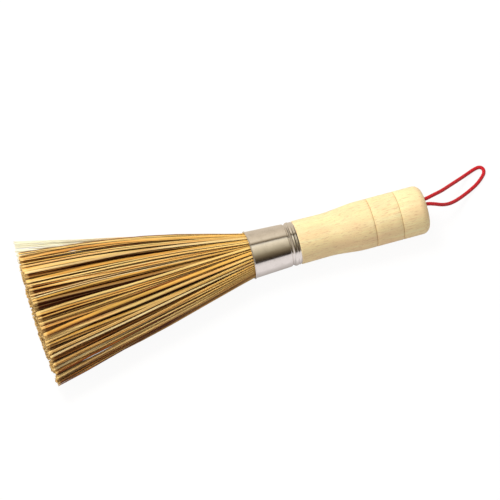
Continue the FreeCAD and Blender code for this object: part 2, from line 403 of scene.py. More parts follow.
@dataclass(frozen=True)
class BambooSplit:
    """Split bamboo, golden to brown from strip to strip, with lengthwise fibres and paler cut ends, and
    with painted shade on the strips' sides, deep in the bundle, at the parting and on the near side, a
    painted highlight on the strays and painted light near the tips.
    """

    shades: Stops = (
        (0.00, linear(84, 34, 8)),
        (0.06, linear(206, 134, 56)),
        (0.16, linear(252, 196, 104)),
        (0.35, linear(255, 224, 148)),
        (0.50, linear(250, 188, 90)),
        (0.62, linear(226, 174, 80)),
        (0.74, linear(255, 224, 146)),
        (0.88, linear(255, 188, 106)),
        (1.00, linear(255, 236, 174)),
    )
    mouth: Colour = linear(255, 208, 110)
    # the colour of the painted highlight on the strays
    pale: Colour = linear(255, 252, 226)
    olive: Colour = linear(176, 152, 78)
    fibre: Colour = linear(92, 44, 12)
    stain: Colour = linear(176, 102, 40)
    # dark brown for the strips' sides, partly their own darker cut sides, partly painted shade in the
    # gaps between strips; also the colour of the painted shade inside the bundle
    flank: Colour = linear(88, 34, 4)
    # painted light: the colour of the paler speckles on the last 1.5 mm before the tips
    tip_light: Colour = linear(255, 216, 138)
    cut_end: Colour = linear(255, 232, 166)
    cell: Colour = linear(186, 132, 70)
    drift: Pattern = Pattern((22.0, 260.0, 1.0), strength=0.4)
    streaks: Pattern = Pattern((26.0, 3400.0, 1.0), 3.0, level=0.6, softness=0.08, strength=0.65)
    fibres: Pattern = Pattern((60.0, 9000.0, 1.0), level=0.62, strength=0.25)
    stains: Pattern = Pattern((14.0, 420.0, 1.0), level=0.58, strength=0.4)
    tints: Pattern = Pattern((7.0, 70.0, 60.0), level=0.56, softness=0.08, strength=0.4)
    cells: Pattern = Pattern((2600.0, 2600.0, 2600.0), 1.0, level=0.52, softness=0.08, strength=0.7)
    tip_light_speckles: Pattern = replace(cells, level=0.42, softness=0.1)
    splay_x: float = -50 * MM
    glow_run: float = 70 * MM
    stray_highlight_run: float = 55 * MM
    mouth_glow: float = 0.5
    # painted shade inside the bundle: how strong it is, and how much weaker near the mouth
    inner_shade: float = 0.8
    inner_shade_at_mouth: float = 0.4
    tip_light_x: float = -130.6 * MM
    tip_light_run: float = 1.5 * MM
    roughness: float = 0.36
    streak_roughness: float = 0.25
    cut_roughness: float = 0.2
    relief: float = 0.12 * MM

    def build(self) -> Material:
        """Makes the finish.

        Returns:
            The material.
        """
        shader = Shader("bamboo", Specular_IOR_Level=0.25)
        uv, place = shader.own_uv(), shader.object_place()
        x = shader.parts(place)[0]
        streaks, fibres = shader.noise(uv, self.streaks), shader.noise(uv, self.fibres)
        cells = shader.noise(place, self.cells)
        near_mouth = x.from_to(self.splay_x, self.glow_run)
        splayed = x.from_to(self.splay_x, -self.stray_highlight_run)
        # painted light: paler speckles on the last 1.5 mm before the tips, brightening the band of cut
        # ends
        worn = x.from_to(self.tip_light_x, -self.tip_light_run)
        tone = shader.attribute("tone") + (shader.noise(uv, self.drift) - 0.5) * self.drift.strength
        # painted shade for strands deep in the bundle, at the parting and on the near side, weaker near
        # the mouth
        inner = shader.attribute("inner") * (self.inner_shade - near_mouth * self.inner_shade_at_mouth)
        colour = shader.layered(
            shader.ramp(tone.clamped(), self.shades),
            (near_mouth * self.mouth_glow, self.mouth),
            (shader.mask(place, self.tints), self.olive),
            (shader.mask(uv, self.stains), self.stain),
            (self.streaks.mask(streaks), self.fibre),
            (self.fibres.mask(fibres), self.fibre),
            # painted shade: the strips' sides, and the strands deep in the bundle, at the parting and on
            # the near side, mixed towards dark brown
            ((shader.attribute("flank") + inner).clamped(), self.flank),
            (worn * self.tip_light_speckles.mask(cells), self.tip_light),
            # painted highlight: the strays beside the fan turn near white past the splay, as if in
            # strong light
            (shader.attribute("bleached") * splayed, self.pale),
        )
        cut = shader.attribute("cut")
        cut_end = shader.mix(self.cells.mask(cells), self.cut_end, self.cell)
        rough = streaks * self.streak_roughness + cut * self.cut_roughness + self.roughness
        shader.finish(shader.mix(cut, colour, cut_end), rough)
        shader.bump(streaks * 0.6 + fibres * 0.4, self.relief, 0.6)
        return shader.material


@dataclass(frozen=True)
class RedCord:
    """Crimson braided cord with a dull sheen."""

    crimson: Colour = linear(236, 34, 48)
    shadow: Colour = linear(160, 8, 22)
    threads: Pattern = Pattern((1800.0, 9000.0, 1.0))
    braid_shade: float = 0.55
    thread_shade: float = 0.3
    relief: float = 0.06 * MM

    def build(self) -> Material:
        """Makes the finish.

        Returns:
            The material.
        """
        shader = Shader("red_cord", Roughness=0.55, Sheen_Weight=0.2, Sheen_Roughness=0.4)
        threads = shader.noise(shader.own_uv(), self.threads)
        sunk = shader.attribute("depth") * self.braid_shade + threads * self.thread_shade
        shader.finish(shader.mix(sunk.clamped(), self.crimson, self.shadow))
        shader.bump(threads, self.relief, 0.5)
        return shader.material


def finished(mesh: BMesh, name: str, sharp_degrees: float) -> Object:
    """Turns a bmesh into a smooth-shaded object at the origin.

    Args:
        mesh: The bmesh, which is freed.
        name: The object's name.
        sharp_degrees: Edges that turn by more than this stay sharp.

    Returns:
        The object, linked to the scene.
    """
    data: Mesh = bpy.data.meshes.new(name)
    mesh.to_mesh(data)
    mesh.free()
    data.shade_smooth()
    data.set_sharp_from_angle(angle=math.radians(sharp_degrees))
    piece = bpy.data.objects.new(name, data)
    bpy.context.scene.collection.objects.link(piece)
    return piece


def dress(piece: Object, finish: Material, slot: Slot, node: str) -> None:
    """Gives a piece its finish and its body, and hides the node that it stands for.

    Args:
        piece: The new piece.
        finish: Its material.
        slot: The slot that the finish belongs to; not used.
        node: The node that the piece replaces.
    """
    piece.data.materials.append(finish)
    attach(piece, "root")
    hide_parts(node)
    log.info("%s stands for %s, %d faces", piece.name, node, len(piece.data.polygons))


def aimed(name: str, data: ID, place: Vector, ahead: Vector) -> Object:
    """Adds a lamp or a camera to the scene.

    Args:
        name: The object's name.
        data: The lamp or the camera.
        place: Where it stands.
        ahead: The direction that it looks in.

    Returns:
        The object.
    """
    item = bpy.data.objects.new(name, data)
    item.location = place
    item.rotation_euler = ahead.to_track_quat("-Z", "Y").to_euler()
    bpy.context.scene.collection.objects.link(item)
    return item


@dataclass
class TurnedProfile:
    """A line of points along a turned piece, each a place along X and a radius."""

    points: list[tuple[float, float]] = field(default_factory=list)

    def to(self, x: float, radius: float, steps: int = 1) -> "TurnedProfile":
        """Runs straight on to a point.

        Args:
            x: The point's place along X.
            radius: Its radius.
            steps: How many points the run is divided into.

        Returns:
            This profile.
        """
        start_x, start_radius = self.points[-1] if self.points else (x, radius)
        for step in range(1, steps + 1):
            share = step / steps
            across = start_radius + (radius - start_radius) * share
            self.points.append((start_x + (x - start_x) * share, across))
        return self

    def arc(self, x: float, radius: float, size: float, angles: tuple[float, float], steps: int) -> None:
        """Follows an arc.

        Args:
            x: Its centre's place along X.
            radius: Its centre's radius from the axis.
            size: The arc's own radius.
            angles: Its first and last angle in degrees, from +X towards larger radii.
            steps: How many runs it has.
        """
        start, end = angles
        for step in range(steps + 1):
            angle = math.radians(start + (end - start) * step / steps)
            self.points.append((x + size * math.cos(angle), radius + size * math.sin(angle)))

    def curve(self, line: Callable[[float], float], start_x: float, end_x: float, steps: int) -> None:
        """Follows a curve.

        Args:
            line: Gives its radius at each place along X.
            start_x: Where it starts.
            end_x: Where it ends.
            steps: How many runs it has.
        """
        for step in range(steps + 1):
            x = start_x + (end_x - start_x) * step / steps
            self.points.append((x, line(x)))

    def spun(self, closed: bool) -> BMesh:
        """Spins the profile about the brush axis.

        Args:
            closed: Whether the last point joins the first.

        Returns:
            The turned shell, facing outwards.
        """
        mesh = bmesh.new()
        line = [mesh.verts.new((x, 0.0, AXIS_HEIGHT + radius)) for x, radius in self.points]
        edges = [mesh.edges.new(pair) for pair in zip(line, line[1:])]
        if closed:
            edges.append(mesh.edges.new((line[-1], line[0])))
        bmesh.ops.spin(
            mesh,
            geom=line + edges,
            cent=(0.0, 0.0, AXIS_HEIGHT),
            axis=ALONG,
            angle=2 * math.pi,
            steps=AROUND_STEPS,
            use_merge=True,
        )
        bmesh.ops.remove_doubles(mesh, verts=mesh.verts, dist=0.002 * MM)
        bmesh.ops.recalc_face_normals(mesh, faces=mesh.faces)
        return mesh


@dataclass(frozen=True)
class Ridge:
    """A band round the ferrule: where it starts from the handle edge, its width and its height."""

    start: float
    width: float
    height: float

    def rise(self, distance: float) -> float:
        """How far the band's arc stands out.

        Args:
            distance: The distance from the handle edge.

        Returns:
            The height, negative in a channel.
        """
        across = distance - self.start - self.width / 2
        if abs(across) >= self.width / 2:
            return 0.0
        size = abs(self.height)
        arc_radius = ((self.width / 2) ** 2 + size ** 2) / (2 * size)
        return math.copysign(math.sqrt(arc_radius ** 2 - across ** 2) - (arc_radius - size), self.height)


@dataclass(frozen=True)
class Ferrule:
    """The sheet steel sleeve: rolled lip at the mouth, crimped channel, bead and fine ring."""

    finish: Material
    length: float = 32.8 * MM
    sheet: float = 0.4 * MM
    mouth_radius: float = 15.8 * MM
    neck_radius: float = 14.1 * MM
    roll_radius: float = 0.45 * MM
    edge_gap: float = 0.05 * MM
    ring: Ridge = Ridge(0.4 * MM, 1.5 * MM, 0.3 * MM)
    bead: Ridge = Ridge(1.9 * MM, 2.8 * MM, 0.45 * MM)
    channel: Ridge = Ridge(4.7 * MM, 1.8 * MM, -0.7 * MM)
    softening: float = 0.3 * MM
    drape_depth: float = 0.22 * MM
    drape_length: float = 1.7 * MM
    relief_length: float = 14 * MM
    relief_steps: int = 110
    cone_steps: int = 6

    def cone(self, distance: float) -> float:
        """The plain outer radius, at a distance from the handle edge."""
        return self.neck_radius + (self.mouth_radius - self.neck_radius) * distance / self.length

    def relief(self, distance: float) -> float:
        """How far the wall stands out: its bands, and the sheet's drape into the channel.

        Args:
            distance: The distance from the handle edge.

        Returns:
            The height, negative where the wall stands in.
        """
        past = distance - self.channel.start - self.channel.width / 2
        drape = -self.drape_depth * math.exp(-past / self.drape_length) if past > 0 else 0.0
        return drape + sum(band.rise(distance) for band in (self.ring, self.bead, self.channel))

    def wall(self, x: float) -> float:
        """The outer radius, with the corners of its relief softened.

        Args:
            x: The place along X.

        Returns:
            The radius.
        """
        distance = MOUTH_X + self.length - x
        samples = [self.relief(distance + self.softening * step / 3) for step in range(-3, 4)]
        return self.cone(distance) + sum(samples) / len(samples)

    def inside(self, x: float) -> float:
        """The inner radius at a place along X."""
        return self.wall(x) - self.sheet

    def build(self) -> None:
        """Builds the ferrule and dresses it in its finish."""
        edge_x = MOUTH_X + self.length - self.edge_gap
        relief_x = edge_x - self.relief_length
        roll_x = MOUTH_X + self.roll_radius
        roll_centre = self.mouth_radius - self.sheet + self.roll_radius
        line = TurnedProfile()
        line.curve(self.inside, edge_x, relief_x, self.relief_steps)
        line.curve(self.inside, relief_x - MM, roll_x + MM, self.cone_steps)
        line.arc(roll_x, roll_centre, self.roll_radius, (270, -8), 22)
        line.curve(self.wall, roll_x + 3 * self.roll_radius, relief_x - MM, self.cone_steps)
        line.curve(self.wall, relief_x, edge_x, self.relief_steps)
        piece = finished(line.spun(closed=True), "ferrule_shell", sharp_degrees=40)
        dress(piece, self.finish, Slot.STEEL, "ferrule")


@dataclass
class Handle:
    """The turned wooden handle with its tenon, waist, swell, fine grooves and drilled butt."""

    finish: Material
    ferrule: Ferrule
    fit: float = 0.45 * MM
    shoulder_x: float = BUTT_X - 89.0 * MM
    collar_radius: float = 14.65 * MM
    collar_rounding: float = 0.7 * MM
    waist_radius: float = 14.4 * MM
    waist_distance: float = 20.0 * MM
    grip_radius: float = 16.3 * MM
    swell_length: float = 45.0 * MM
    butt_rounding: float = 5.2 * MM
    groove_distances: tuple[float, float] = (37.5 * MM, 18.9 * MM)
    groove_width: float = 0.9 * MM
    groove_depth: float = 0.5 * MM
    groove_easing: float = 0.12 * MM
    hole_centre: tuple[float, float] = (3.0 * MM, 3.5 * MM)
    hole_radius: float = 3.0 * MM
    hole_easing: float = 0.4 * MM
    hole_depth: float = 8.0 * MM

    def swell(self, x: float) -> float:
        """The radius from the collar over the waist to the full grip.

        Args:
            x: The place along X.

        Returns:
            The radius.
        """
        first_x = self.shoulder_x + self.collar_rounding
        waist_x = self.shoulder_x + self.waist_distance
        grip_x = self.shoulder_x + self.swell_length
        if x < waist_x:
            share = (x - first_x) / (waist_x - first_x)
            start, end = self.collar_radius, self.waist_radius
        else:
            share = (x - waist_x) / (grip_x - waist_x)
            start, end = self.waist_radius, self.grip_radius
        return start + (end - start) * share * share * (3 - 2 * share)

    def tenon(self, x: float) -> float:
        """The tenon's radius at a place along X, with the groove that the channel bites into."""
        distance = self.shoulder_x - x
        return self.ferrule.cone(distance) + self.ferrule.channel.rise(distance) - self.fit

    def profile(self) -> TurnedProfile:
        """Draws the handle's line.

        Returns:
            The line, from the middle of the tenon's end to the butt.
        """
        line = TurnedProfile()
        line.to(TENON_X, 0.0).to(TENON_X, self.tenon(TENON_X), 6)
        bite = self.ferrule.channel
        bite_x = self.shoulder_x - bite.start - bite.width
        line.curve(self.tenon, bite_x, bite_x + bite.width, 8)
        line.to(self.shoulder_x, self.tenon(self.shoulder_x))
        collar = self.collar_radius - self.collar_rounding
        line.to(self.shoulder_x, collar)
        rounding_x = self.shoulder_x + self.collar_rounding
        line.arc(rounding_x, collar, self.collar_rounding, (180, 90), 8)
        line.curve(self.swell, rounding_x + 0.4 * MM, self.shoulder_x + self.swell_length, 56)
        for distance in self.groove_distances:
            self._groove(line, BUTT_X - distance)
        butt_centre = self.grip_radius - self.butt_rounding
        line.arc(BUTT_X - self.butt_rounding, butt_centre, self.butt_rounding, (90, 0), 20)
        return line

    def _groove(self, line: TurnedProfile, middle_x: float) -> None:
        """Runs the line through one fine groove with slightly worn edges.

        Args:
            line: The handle's line.
            middle_x: The groove's middle.
        """
        half, eased = self.groove_width / 2, self.groove_easing
        line.to(middle_x - half - eased, self.grip_radius, 4)
        bends = (
            (eased - half, eased),
            (-eased / 2, self.groove_depth),
            (eased / 2, self.groove_depth),
            (half - eased, eased),
            (half + eased, 0.0),
        )
        for offset, depth in bends:
            line.to(middle_x + offset, self.grip_radius - depth)

    def _mark_grooves(self, mesh: BMesh) -> None:
        """Keeps on each point how deep it lies in a fine groove, from 0 to 1, which sets the painted
        shade there.

        Args:
            mesh: The turned shell.
        """
        layer = mesh.verts.layers.float.new("groove")
        for vert in mesh.verts:
            radius = math.hypot(vert.co.y, vert.co.z - AXIS_HEIGHT)
            near = min(abs(BUTT_X - distance - vert.co.x) for distance in self.groove_distances)
            if near < self.groove_width:
                vert[layer] = min(1.0, (self.grip_radius - radius) / self.groove_depth)

    def _drill(self, mesh: BMesh) -> None:
        """Closes the butt with a flat face and the blind hole for the cord.

        Args:
            mesh: The turned shell, open at the butt.
        """
        edges = [edge for edge in mesh.edges if edge.is_boundary]
        centre = Vector((BUTT_X, 0.0, AXIS_HEIGHT))
        rings = (
            (Vector((0.0, *self.hole_centre)), self.hole_radius + self.hole_easing),
            (-ALONG * self.hole_easing, self.hole_radius),
            (-ALONG * (self.hole_depth - self.hole_easing), self.hole_radius),
        )
        for move, radius in rings:
            moved = bmesh.ops.extrude_edge_only(mesh, edges=edges)["geom"]
            edges = [item for item in moved if isinstance(item, BMEdge)]
            for vert in (item for item in moved if isinstance(item, BMVert)):
                vert.co = centre + move + (vert.co - centre).normalized() * radius
            centre = centre + move
        bmesh.ops.contextual_create(mesh, geom=edges)
        bmesh.ops.recalc_face_normals(mesh, faces=mesh.faces)

    def build(self) -> None:
        """Builds the handle and dresses it in its finish."""
        mesh = self.profile().spun(closed=False)
        self._mark_grooves(mesh)
        self._drill(mesh)
        piece = finished(mesh, "handle_turning", sharp_degrees=38)
        dress(piece, self.finish, Slot.WOOD, "handle")


@dataclass
class StripPath:
    """The middle, width and thickness of one split at each of its four stations, root first."""

    xs: list[float] = field(default_factory=list)
    sides: list[float] = field(default_factory=list)
    heights: list[float] = field(default_factory=list)
    widths: list[float] = field(default_factory=list)
    thicknesses: list[float] = field(default_factory=list)

    @staticmethod
    def through(corners: list[Vector]) -> "StripPath":
        """Reads a split's path.

        Args:
            corners: The corners of its sections, four to each.

        Returns:
            The path.
        """
        corners.sort(key=lambda corner: -corner.x)
        path = StripPath()
        for first in range(0, len(corners), 4):
            section = corners[first:first + 4]
            ys = [corner.y for corner in section]
            zs = [corner.z for corner in section]
            path.xs.append(section[0].x)
            path.sides.append((min(ys) + max(ys)) / 2)
            path.heights.append((min(zs) + max(zs)) / 2)
            path.widths.append(max(ys) - min(ys))
            path.thicknesses.append(max(zs) - min(zs))
        return path

    def at(self, values: Sequence[float], x: float) -> float:
        """A value at a place along X, straight from station to station.

        Args:
            values: The value at each station.
            x: The place, from the root's x down to the end's.

        Returns:
            The value there.
        """
        last = len(self.xs) - 2
        index = next((number for number in range(last) if x >= self.xs[number + 1]), last)
        share = (self.xs[index] - x) / (self.xs[index] - self.xs[index + 1])
        return values[index] + (values[index + 1] - values[index]) * share

    def smooth(self, values: Sequence[float], x: float, roundings: Sequence[float]) -> float:
        """A value at a place along X, with a rounded turn at the mouth and at the bend.

        Args:
            values: The value at each station.
            x: The place.
            roundings: How far each of the two turns reaches to either side.

        Returns:
            The value there.
        """
        value = self.at(values, x)
        for index, reach in zip((1, 2), roundings):
            away = abs(x - self.xs[index])
            if away < reach:
                before = (values[index - 1] - values[index]) / (self.xs[index - 1] - self.xs[index])
                after = (values[index] - values[index + 1]) / (self.xs[index] - self.xs[index + 1])
                value += (before - after) * (reach - away) ** 2 / (4 * reach)
        return value


@dataclass
class SplitFan:
    """The fan of bamboo splits, each dressed from its own solid: rounded, a little wavy and often cleft.

    A split's free length runs from 0 at the mouth to 1 at the tips, and what grows along it does so
    by that number.
    """

    finish: Material
    rooted_steps: int = 3
    free_steps: int = 7
    edge_round: float = 0.2
    mouth_rounding: float = 1.5 * MM
    bend_rounding: float = 40.0 * MM
    least_wave: float = 0.3
    wave_side: float = 0.7 * MM
    wave_side_length: float = 17 * MM
    wave_height: float = 0.2 * MM
    wave_height_length: float = 21 * MM
    twist: float = 0.2
    least_depth: float = 0.3
    outer_depth: float = 0.8
    wander_chance: float = 0.2
    wander_side: float = 5.0 * MM
    wander_edge: float = 33.0 * MM
    wander_curve: float = 1.5
    wander_lift: float = 0.7 * MM
    lift_pace: float = 3.0
    bow: float = 3.8 * MM
    bow_side: float = 38.5 * MM
    cleft_chance: float = 0.6
    thrice_chance: float = 0.75
    cleft_places: tuple[float, float] = (0.55, 1.3)
    cleft_gap: float = 0.9 * MM
    cleft_growth: float = 1.4
    cleft_start: float = 0.4
    edge_cleft: float = 0.15
    narrowest_cleft: float = 1.4 * MM
    thrice_cleft: float = 2.2 * MM
    tone_spread: float = 0.24
    sliver: float = 0.55 * MM
    end_slant: float = 0.25 * MM
    raggedness: float = 0.35
    end_plane: float = TIPS_X + 1.3 * MM
    cut_facing: float = 0.9
    # painted shade: strands deep in the bundle, in the parting and on the near side (-Y) are darkened
    inner_depth: float = 0.85
    inner_run: float = 0.5
    parting_side: float = -1.0 * MM
    parting_reach: float = 2.0 * MM
    parting_shade: float = 0.8
    near_side: float = -40.0 * MM
    near_shade: float = 0.45
    # at the bundle's edges, sides that face outwards keep only the outline share of the painted side
    # shade
    outline_side: float = 11.5 * MM
    outline_flank: float = 0.3
    uv_rise: float = 0.4
    flare: float = 0.2
    bundle_radius: float = 15.0 * MM
    crowding: float = 0.6
    crowding_pace: float = 1.5
    stray_side: float = 38.5 * MM
    stray_run: float = 1.5 * MM
    stray_start: float = -25.0 * MM
    stray_end: float = -95.0 * MM
    stray_width: float = 0.3
    stray_thinning: float = 0.6
    lowest: float = 0.02 * MM
    source: random.Random = field(default_factory=lambda: random.Random(5))

    @staticmethod
    def paths(node: str) -> list[StripPath]:
        """Reads the splits of one row from its solids.

        Args:
            node: The row's node.

        Returns:
            One path for each split, from the lowest side to the highest.
        """
        mesh = bmesh.new()
        mesh.from_mesh(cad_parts[node].data)
        bmesh.ops.remove_doubles(mesh, verts=mesh.verts, dist=0.001 * MM)
        paths = []
        seen = set()
        for vert in mesh.verts:
            if vert not in seen:
                island = SplitFan._island(vert)
                seen |= island
                paths.append(StripPath.through([member.co.copy() for member in island]))
        mesh.free()
        return sorted(paths, key=lambda path: path.sides[-1])

    @staticmethod
    def _island(start: BMVert) -> set[BMVert]:
        """Finds the vertices that hang together by edges.

        Args:
            start: One of them.

        Returns:
            All of them.
        """
        found = {start}
        edge_of_search = [start]
        while edge_of_search:
            vert = edge_of_search.pop()
            others = {edge.other_vert(vert) for edge in vert.link_edges} - found
            found |= others
            edge_of_search.extend(others)
        return found

    def _blank(self) -> Mesh:
        """Makes a strip of unit width and thickness with its upper long edges rounded.

        Returns:
            The strip, from x = 0 at its root, one unit long for each division.
        """
        blank = bmesh.new()
        bmesh.ops.create_cube(blank, size=1.0)
        bmesh.ops.translate(blank, verts=blank.verts, vec=(0.5, 0, 0))

        def long_edges(lowest: float) -> list[BMEdge]:
            """The edges along the strip that lie above a height."""
            ends = [(edge, edge.verts[0].co, edge.verts[1].co) for edge in blank.edges]
            return [edge for edge, one, other in ends if abs(one.x - other.x) > 0.5 and one.z > lowest]

        bmesh.ops.bevel(
            blank,
            geom=long_edges(0),
            offset=self.edge_round,
            segments=1,
            profile=0.5,
            affect="EDGES",
            material=-1,
        )
        runs = self.free_steps + self.rooted_steps
        bmesh.ops.scale(blank, verts=blank.verts, vec=(runs, 1, 1))
        bmesh.ops.subdivide_edges(blank, edges=long_edges(-1), cuts=runs - 1, use_grid_fill=True)
        mesh = bpy.data.meshes.new("blank_strip")
        blank.to_mesh(mesh)
        blank.free()
        return mesh

    def _places(self, path: StripPath) -> list[float]:
        """Where along X a split's divisions lie.

        Args:
            path: The split's path.

        Returns:
            The places, from its root to its cut end.
        """
        first_free = MOUTH_X - self.mouth_rounding
        end = self.end_plane + (path.xs[-1] - self.end_plane) * self.raggedness
        run = (end - first_free) / self.free_steps
        free = [first_free + run * step for step in range(self.free_steps + 1)]
        return [path.xs[0], MOUTH_X + self.mouth_rounding, MOUTH_X, *free]

    def _depth(self, path: StripPath) -> float:
        """How far from the bundle's middle a split leaves the mouth, 1 at its outside."""
        return math.hypot(path.sides[1], path.heights[1] - AXIS_HEIGHT) / self.bundle_radius

    def _stray(self, path: StripPath) -> float:
        """How far a split is one of the pale strays beside the fan, from 0 to 1."""
        return min(1.0, max(0.0, (path.sides[-1] - self.stray_side) / self.stray_run))

    def _strand(
        self, row: BMesh, blank: Mesh, path: StripPath, lane: tuple[float, float], tone: float
    ) -> None:
        """Adds one strand of a split to its row.

        Args:
            row: The row's bmesh.
            blank: The unit strip.
            path: The split's path.
            lane: The strand's part of the split's width, from 0 to 1.
            tone: Its shade, from 0 to 1.
        """
        first_vert, first_face = len(row.verts), len(row.faces)
        row.from_mesh(blank)
        row.verts.ensure_lookup_table()
        row.faces.ensure_lookup_table()
        # painted shade: darker deep in the bundle and at the parting, and on the near side, growing
        # towards the tips
        parting = math.exp(-(((path.sides[-1] - self.parting_side) / self.parting_reach) ** 2))
        inner = max(0.0, (self.inner_depth - self._depth(path)) / self.inner_run)
        inner += parting * self.parting_shade
        near = max(0.0, path.sides[-1] / self.near_side) * self.near_shade
        uv_layer = row.loops.layers.uv["UVMap"]
        shift = self.source.uniform(0, 2)
        run = (path.xs[0] - path.xs[-1]) / (self.free_steps + self.rooted_steps)
        for face in row.faces[first_face:]:
            face.normal_update()
            reach = max(0.0, face.calc_center_median().x - self.rooted_steps) / self.free_steps
            # sides facing outwards at the bundle's edges take less of the painted side shade
            outward = abs(path.sides[1]) > self.outline_side and face.normal.y * path.sides[1] > 0
            values = {
                "tone": tone,
                "cut": float(abs(face.normal.x) > self.cut_facing),
                "bleached": self._stray(path),
                "inner": min(1.0, inner + near * reach),
                "flank": abs(face.normal.y) ** 4 * (self.outline_flank if outward else 1.0),
            }
            for name, value in values.items():
                face[row.faces.layers.float[name]] = value
            for loop in face.loops:
                along, across, up = loop.vert.co
                unrolled = (across + up * self.uv_rise) * path.widths[1]
                loop[uv_layer].uv = (along * run + shift, unrolled + shift)
        self._lay(row.verts[first_vert:], path, lane)

    def _lay(self, verts: list[BMVert], path: StripPath, lane: tuple[float, float]) -> None:
        """Moves a unit strand's points to the split's place, with its own waves, twist and cut end.

        Args:
            verts: The strand's vertices, still on the unit strip.
            path: The split's path.
            lane: The strand's part of the split's width, from 0 to 1.
        """
        draw = self.source.uniform
        places = self._places(path)
        phases = [draw(0, 2 * math.pi) for _ in range(3)]
        sway = draw(self.least_wave, 1.0) * self.wave_side
        lift = draw(self.least_wave, 1.0) * self.wave_height
        turn = draw(-self.twist, self.twist)
        slant = draw(-self.end_slant, self.end_slant)
        middle, share = (lane[0] + lane[1]) / 2 - 0.5, lane[1] - lane[0]
        at_edge = abs(path.sides[-1]) > self.wander_edge
        gap = self.cleft_gap * (self.edge_cleft if at_edge else 1.0)
        roundings = (self.mouth_rounding, self.bend_rounding)
        stray = self._stray(path)
        thinning = stray * (1 - self.stray_width)
        depth = min(1.0, max(self.least_depth, self._depth(path)))
        crowding = depth ** self.crowding / depth - 1
        wanders = depth > self.outer_depth and self.source.random() < self.wander_chance
        wander = draw(-self.wander_side, self.wander_side) if wanders else 0.0
        if stray > 0:
            wander = 0.0
        elif at_edge:
            wander = -math.copysign(wander, path.sides[-1])
        above = path.heights[1] > AXIS_HEIGHT
        lift_off = abs(wander) / self.wander_side * self.wander_lift if above else 0.0
        bow = self.bow * max(0.0, path.sides[-1] / self.bow_side) * (1 - stray)
        for vert in verts:
            step = round(vert.co.x)
            x = places[step]
            free = max(0.0, (MOUTH_X - x) / (MOUTH_X - TIPS_X))
            side = path.smooth(path.sides, x, roundings)
            side += sway * free * math.sin(x / self.wave_side_length + phases[0])
            side += bow * math.sin(math.pi * min(free, 1.0)) + wander * free ** self.wander_curve
            height = path.smooth(path.heights, x, roundings)
            height += lift * free * math.sin(x / self.wave_height_length + phases[1])
            height += (height - AXIS_HEIGHT) * crowding * min(1.0, free * self.crowding_pace)
            height += lift_off * min(1.0, free * self.lift_pace)
            opened = free * self.cleft_growth - self.cleft_start * math.cos(phases[2])
            opening = 2 * middle * gap * max(0.0, opened)
            splayed = min(1.0, max(0.0, (self.stray_start - x) / (self.stray_start - self.stray_end)))
            slimmed = share * (1 + self.flare * free) * (1 - thinning * splayed)
            across = (middle + vert.co.y * slimmed) * path.at(path.widths, x) + opening
            thinned = 1 - thinning * splayed * self.stray_thinning
            up = vert.co.z * path.at(path.thicknesses, x) * thinned
            angle = turn * free
            end = slant * vert.co.y * 2 if step == len(places) - 1 else 0.0
            vert.co = Vector((
                max(x + end, TIPS_X),
                side + across * math.cos(angle) - up * math.sin(angle),
                max(height + across * math.sin(angle) + up * math.cos(angle), self.lowest),
            ))

    def _lanes(self, path: StripPath) -> list[tuple[float, float]]:
        """Chooses at random how a split is cleft.

        Args:
            path: The split's path.

        Returns:
            Each strand's part of the width, from 0 to 1.
        """
        widest = path.widths[1]
        if widest < self.narrowest_cleft or self.source.random() > self.cleft_chance:
            return [(0.0, 1.0)]
        count = 3 if widest > self.thrice_cleft and self.source.random() < self.thrice_chance else 2
        cuts = sorted(self.source.uniform(*self.cleft_places) * cut / count for cut in range(1, count))
        borders = [0.0, *cuts, 1.0]
        return list(zip(borders, borders[1:]))

    def build(self) -> None:
        """Builds each row of splits and dresses it in the finish."""
        blank = self._blank()
        for node in SPLIT_NODES:
            row = bmesh.new()
            for layer in ("tone", "cut", "bleached", "inner", "flank"):
                row.faces.layers.float.new(layer)
            row.loops.layers.uv.new("UVMap")
            for path in self.paths(node):
                tone = self.source.random()
                for lane in self._lanes(path):
                    shade = tone + self.source.uniform(-self.tone_spread, self.tone_spread)
                    # slivers take the darkest shade: painted shade, thin dark lines that stand for the
                    # shadowed gaps between strips
                    if (lane[1] - lane[0]) * path.widths[1] < self.sliver:
                        shade = 0.0
                    self._strand(row, blank, path, lane, min(1.0, max(0.0, shade)))
            bmesh.ops.recalc_face_normals(row, faces=row.faces)
            piece = finished(row, node.replace("splits_row", "bamboo_row"), sharp_degrees=50)
            dress(piece, self.finish, Slot.BAMBOO, node)
        bpy.data.meshes.remove(blank)


